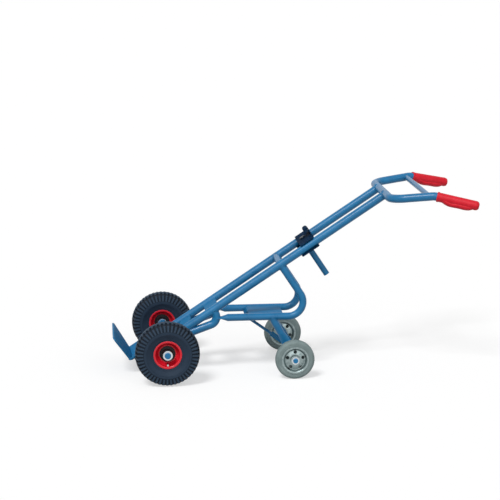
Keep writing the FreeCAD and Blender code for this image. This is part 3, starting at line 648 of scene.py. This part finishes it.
# Where the rays that find a seam start, in millimetres before it, from the middle or from the axle, and
# how far they reach
BOW_RUN_UP = 60.0
LOOP_RUN_UP = 40.0
AXLE_LOOP_RUN_UP = 45.0
LEG_RUN_UP = 45.0
BRACE_RUN_UP = 30.0
CROSSBAR_START = 150.0
LOOP_BACK_START = 150.0
BESIDE_BRACE = 45.0
SHORT_RAY = 60.0
BOW_RAY = 70.0
CROSS_RAY = 90.0
CROSSBAR_RAY = 120.0
LOOP_BACK_RAY = 125.0
BRACE_RAY = 45.0

bpy.context.view_layer.update()
loop_back = (ALONG * -AXLE_LOOP_REACH + OUTWARD * AXLE_LOOP_DROP).normalized()
cradle_reach = LOAD_RADIUS + CRADLE_WALL + TUBE
cradle_axis = math.sqrt(cradle_reach**2 - TUBE_OFFSET**2)
rest_sine = TUBE_OFFSET / cradle_reach
rest_cosine = cradle_axis / cradle_reach
frame_welds = []
for side_name, side in SIDES.items():
    outboard = ACROSS * side
    offset = side * TUBE_OFFSET
    tube_node = "main_tube_" + side_name

    # Handle bow and its crossbar
    bow_start = on_frame(HANDLE_REACH - BOW_RUN_UP, offset, 0)
    frame_welds += ring_weld("handle_bow", BOW_RAY, bow_start, ALONG, ACROSS, TUBE, TUBE)
    bar_start = middle("handle_crossbar") + outboard * (CROSSBAR_START * MM)
    frame_welds += ring_weld(
        "handle_bow", CROSSBAR_RAY, bar_start, outboard, LEVEL, CROSSBAR, CROSSBAR
    )

    # Support loop and upper cross tube
    loop_start = on_frame(SUPPORT_REACH, offset, -LOOP_RUN_UP)
    frame_welds += ring_weld(
        tube_node, SHORT_RAY, loop_start, OUTWARD, ACROSS, SUPPORT_TUBE, SUPPORT_TUBE
    )
    cross_start = on_frame(SUPPORT_REACH, 0, 0)
    frame_welds += ring_weld(
        tube_node, CROSS_RAY, cross_start, outboard, ALONG, SUPPORT_TUBE, SUPPORT_TUBE
    )

    # Axle loop with the support loop's pressed end on it, and the axle
    axle_loop_start = on_frame(AXLE_LOOP_REACH, offset, -AXLE_LOOP_RUN_UP)
    frame_welds += ring_weld(tube_node, SHORT_RAY, axle_loop_start, OUTWARD, ACROSS, TUBE, TUBE)
    back_start = on_frame(
        LOOP_BACK_START, offset, -AXLE_LOOP_DROP * LOOP_BACK_START / AXLE_LOOP_REACH
    )
    frame_welds += ring_weld(
        tube_node, LOOP_BACK_RAY, back_start, loop_back, ACROSS, TUBE, TUBE,
        longest=LONGEST_SLANTED_STEP,
    )
    tongue_start = over_ground(TONGUE_REACH, offset, SUPPORT_HEIGHT)
    frame_welds += ring_weld(
        "axle_loop_" + side_name, SHORT_RAY, tongue_start, -LEVEL, ACROSS, *TONGUE_HALVES
    )
    frame_welds += ring_weld(
        tube_node, CROSS_RAY, on_frame(0, 0, 0), outboard, ALONG, AXLE_SEAM, AXLE_SEAM
    )

    # Support leg, and the support axle in the leg and in the brace
    axle_start = SUPPORT_AXLE + outboard * (BESIDE_BRACE * MM)
    for node, toward in (("support_leg_" + side_name, outboard), ("support_brace", -outboard)):
        frame_welds += ring_weld(
            node, SHORT_RAY, axle_start, toward, LEVEL, SUPPORT_AXLE_SEAM, SUPPORT_AXLE_SEAM
        )
    leg_top = over_ground(LEG_TOP, offset, SUPPORT_HEIGHT)
    leg_foot = SUPPORT_AXLE + ACROSS * (offset * MM)
    leg_rise = (leg_top - leg_foot).normalized()
    frame_welds += ring_weld(
        "support_loop_" + side_name, SHORT_RAY, leg_top - leg_rise * (LEG_RUN_UP * MM), leg_rise,
        leg_rise.cross(ACROSS), SUPPORT_TUBE, SUPPORT_TUBE,
    )

    # Cross plates and step plate
    seam = side * (TUBE_OFFSET - math.sqrt(TUBE**2 - PLATE_HALF**2))
    for start, end in PLATE_RUNS:
        for face in (PLATE_HALF, -PLATE_HALF):
            frame_welds.append(straight_weld(on_frame(start, seam, face), on_frame(end, seam, face)))
    for face in STEP_FACES:
        seam = side * (TUBE_OFFSET - math.sqrt(SUPPORT_TUBE**2 - face**2))
        ends = [over_ground(reach, seam, SUPPORT_HEIGHT + face) for reach in STEP_RUN]
        frame_welds.append(straight_weld(*ends))

    # Cradle
    for slip in (-SEAM_SIDE, SEAM_SIDE):
        seam_out = side * (TUBE_OFFSET - TUBE * rest_sine + slip * rest_cosine)
        seam_up = TUBE * rest_cosine + slip * rest_sine - slip**2 / (4 * TUBE)
        for cradle_run in CRADLE_RUNS:
            ends = [on_frame(run, seam_out, seam_up) for run in cradle_run]
            frame_welds.append(straight_weld(*ends))

# Brace and toe plate
brace_top = over_ground(STEP_LIP[0], 0, STEP_LIP[1])
brace_rise = (brace_top - SUPPORT_AXLE).normalized()
brace_start = brace_top - brace_rise * (BRACE_RUN_UP * MM)
frame_welds += ring_weld("step_plate", BRACE_RAY, brace_start, brace_rise, ACROSS, BRACE, BRACE)
toe_spread = math.asin(CRADLE_HALF / LOAD_RADIUS)
toe_turns = [toe_spread * (k / TOE_STEPS - 1) for k in range(2 * TOE_STEPS + 1)]
frame_welds.append([
    on_frame(TOE_FACE, LOAD_RADIUS * math.sin(t), cradle_axis - LOAD_RADIUS * math.cos(t))
    for t in toe_turns
])
frame_beads = bead_mesh("frame_weld_beads", frame_welds)
new_piece("frame_weld_beads", frame_beads, blue_coat, "frame")

# Hook on its top plate
hook_ends = [
    on_frame(HOOK_FACE, offset, TOP_PLATE_FACE) for offset in (-HOOK_SEAM_HALF, HOOK_SEAM_HALF)
]
hook_bead = bead_mesh("hook_weld_bead", [straight_weld(*hook_ends)])
new_piece("hook_weld_bead", hook_bead, black_coat, "hook_carriage")

# Turned details of the wheels, with sizes in millimetres. A ridge has its radius, half its width and
# its height.
RING_STEPS = 128
MERGE = 0.001
RIDGE_RAY = 100.0
TYRE_RIDGES = ((64.0, 1.4, 0.9), (68.5, 1.0, 0.6), (86.0, 1.8, 0.9))
SUPPORT_RIDGES = ((60.5, 0.9, 0.6), (69.0, 0.9, 0.6))


def turned_rings(name, outlines):
    """Mesh of rings turned about lines across the trolley, each from its centre and its section."""
    shape = bmesh.new()
    for centre, outline in outlines:
        corners = [
            shape.verts.new(centre + LEVEL * (radius * MM) + ACROSS * (offset * MM))
            for radius, offset in outline
        ]
        sides = [shape.edges.new((corners[k - 1], corners[k])) for k in range(len(corners))]
        bmesh.ops.spin(
            shape, geom=corners + sides, cent=centre, axis=ACROSS, angle=FULL_TURN,
            steps=RING_STEPS, use_merge=True,
        )
    bmesh.ops.remove_doubles(shape, verts=shape.verts, dist=MERGE * MM)
    bmesh.ops.recalc_face_normals(shape, faces=shape.faces)
    mesh = mesh_of(name, shape)
    smooth_faces(mesh)
    return mesh


def side_ridge(node, centre, side, radius, half_width, height):
    """Section of a low moulded ridge on a tyre's side wall."""
    inner = radius - half_width
    outer = radius + half_width
    feet = []
    for reach in (inner, outer):
        start = centre + LEVEL * (reach * MM) + ACROSS * (side * RIDGE_RAY * MM)
        feet.append((land(node, start, ACROSS * -side, RIDGE_RAY) - centre).y / MM)
    crest = (feet[0] + feet[1]) / 2 + side * height
    crest_half = half_width / 3
    return [
        (inner, feet[0] - side * height), (inner, feet[0]),
        (radius - crest_half, crest), (radius + crest_half, crest),
        (outer, feet[1]), (outer, feet[1] - side * height),
    ]


def side_ridges(name, node, centre, ridges):
    """Mesh of the ridges on both side walls of a tyre."""
    outlines = [
        (centre, side_ridge(node, centre, face, *ridge)) for face in (-1, 1) for ridge in ridges
    ]
    return turned_rings(name, outlines)


for side_name in SIDES:
    name = "tyre_side_ridges_" + side_name
    ridges = side_ridges(name, "tyre_" + side_name, middle("hub_" + side_name), TYRE_RIDGES)
    new_piece(name, ridges, tyre_rubber, "wheel_" + side_name)
    name = "support_tyre_ridges_" + side_name
    ridges = side_ridges(
        name, "support_tyre_" + side_name, middle("support_hub_" + side_name), SUPPORT_RIDGES
    )
    new_piece(name, ridges, grey_rubber, "support_wheel_" + side_name)

# Discs of the support wheels
DISC_HOLES = 5
SHARP_TURN = math.radians(30)


def offset_discs(name, node, centre, side):
    """Copy of a wheel's two discs, the inner one turned so that its holes lie between the outer one's."""
    shape = bmesh.new()
    shape.from_mesh(frame["nodes"][node].data)
    bmesh.ops.remove_doubles(shape, verts=shape.verts, dist=MERGE * MM)
    inner = [corner for corner in shape.verts if (corner.co.y - centre.y) * side < 0]
    half_pitch = Matrix.Rotation(math.pi / DISC_HOLES, 3, "Y")
    bmesh.ops.rotate(shape, verts=inner, cent=centre, matrix=half_pitch)
    mesh = mesh_of(name, shape)
    smooth_faces(mesh)
    mesh.set_sharp_from_angle(angle=SHARP_TURN)
    return mesh


for side_name, side in SIDES.items():
    name = "offset_support_discs_" + side_name
    node = "support_discs_" + side_name
    mesh = offset_discs(name, node, middle("support_hub_" + side_name), side)
    discs = new_piece(name, mesh, dull_zinc, "support_wheel_" + side_name)
    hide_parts(node)

# Dust caps of the valves, in millimetres from the valve's line and from the wheel's middle
VALVE_RADIUS = 43.0
CAP_OUTLINE = (
    (0.8, 26.4), (0.8, 27.5), (2.6, 27.9), (3.9, 27.0),
    (4.2, 25.6), (4.2, 18.2), (3.7, 17.6), (3.4, 18.0),
)
for side_name, side in SIDES.items():
    name = "valve_cap_" + side_name
    valve = middle("hub_" + side_name) - UPRIGHT * (VALVE_RADIUS * MM)
    outline = [(radius, side * offset) for radius, offset in CAP_OUTLINE]
    cap = turned_rings(name, [(valve, outline)])
    new_piece(name, cap, zinc, "wheel_" + side_name)

# Pale floor, with its radius in metres and its drop below the tyres in millimetres. Its greys are those
# by which it lights the trolley and by which it is seen, and its glow lifts it to white.
FLOOR_RADIUS = 60.0
FLOOR_SIDES = 96
FLOOR_DROP = 0.2
FLOOR_LIT = (0.45, 0.45, 0.45, 1.0)
FLOOR_SEEN = (0.5, 0.5, 0.5, 1.0)
FLOOR_GLOW = 0.545
WHITE = hex_colour("#ffffff")


def seen_directly(tree):
    """Socket that is 1 for rays that show the background: in the picture, in gloss or through glass."""
    path = add(tree, "LightPath")
    seen = add(tree, "Math", {
        0: path.outputs["Is Camera Ray"], 1: path.outputs["Is Glossy Ray"],
    }, operation="ADD")
    seen = add(tree, "Math", {
        0: seen.outputs["Value"], 1: path.outputs["Is Transmission Ray"],
    }, operation="ADD", use_clamp=True)
    return seen.outputs["Value"]


floor_shape = bmesh.new()
bmesh.ops.create_circle(floor_shape, cap_ends=True, segments=FLOOR_SIDES, radius=FLOOR_RADIUS)
bmesh.ops.translate(floor_shape, verts=floor_shape.verts, vec=(0, 0, GROUND - FLOOR_DROP * MM))
floor_mesh = mesh_of("pale_floor", floor_shape)
floor = bpy.data.objects.new("pale_floor", floor_mesh)
bpy.context.scene.collection.objects.link(floor)

floor_finish = bpy.data.materials.new("pale_studio_floor")
floor_finish.use_nodes = True
floor_tree = floor_finish.node_tree
floor_tree.nodes.clear()
floor_lit = add(floor_tree, "BsdfDiffuse", {"Color": FLOOR_LIT})
floor_seen = add(floor_tree, "BsdfDiffuse", {"Color": FLOOR_SEEN})
floor_glow = add(floor_tree, "Emission", {"Color": WHITE, "Strength": FLOOR_GLOW})
floor_sum = add(floor_tree, "AddShader", {
    0: floor_seen.outputs["BSDF"], 1: floor_glow.outputs["Emission"],
})
floor_mix = add(floor_tree, "MixShader", {
    "Fac": seen_directly(floor_tree), 1: floor_lit.outputs["BSDF"], 2: floor_sum.outputs["Shader"],
})
add(floor_tree, "OutputMaterial", {"Surface": floor_mix.outputs["Shader"]})
floor_mesh.materials.append(floor_finish)

# White background that gives less light than it shows
WORLD_LIGHT = 0.27
WORLD_SEEN = 1.0
world = bpy.data.worlds.new("white_studio")
bpy.context.scene.world = world
world.use_nodes = True
world_tree = world.node_tree
world_tree.nodes.clear()
world_level = add(world_tree, "MapRange", {
    "Value": seen_directly(world_tree), "To Min": WORLD_LIGHT, "To Max": WORLD_SEEN,
})
world_light = add(world_tree, "Background", {
    "Color": WHITE, "Strength": world_level.outputs["Result"],
})
add(world_tree, "OutputWorld", {"Surface": world_light.outputs["Background"]})


def soft_sun(name, toward, energy, spread):
    """Adds a soft, even light that shines towards a direction, with its spread in degrees."""
    data = bpy.data.lights.new(name, "SUN")
    data.energy = energy
    data.angle = math.radians(spread)
    item = bpy.data.objects.new(name, data)
    item.rotation_mode = "QUATERNION"
    item.rotation_quaternion = Vector(toward).to_track_quat("-Z", "Y")
    bpy.context.scene.collection.objects.link(item)


soft_sun("key_light", toward=(0.35, 0.55, -0.85), energy=2.1, spread=18)
soft_sun("fill_light", toward=(-0.15, 0.95, -0.35), energy=1.0, spread=70)
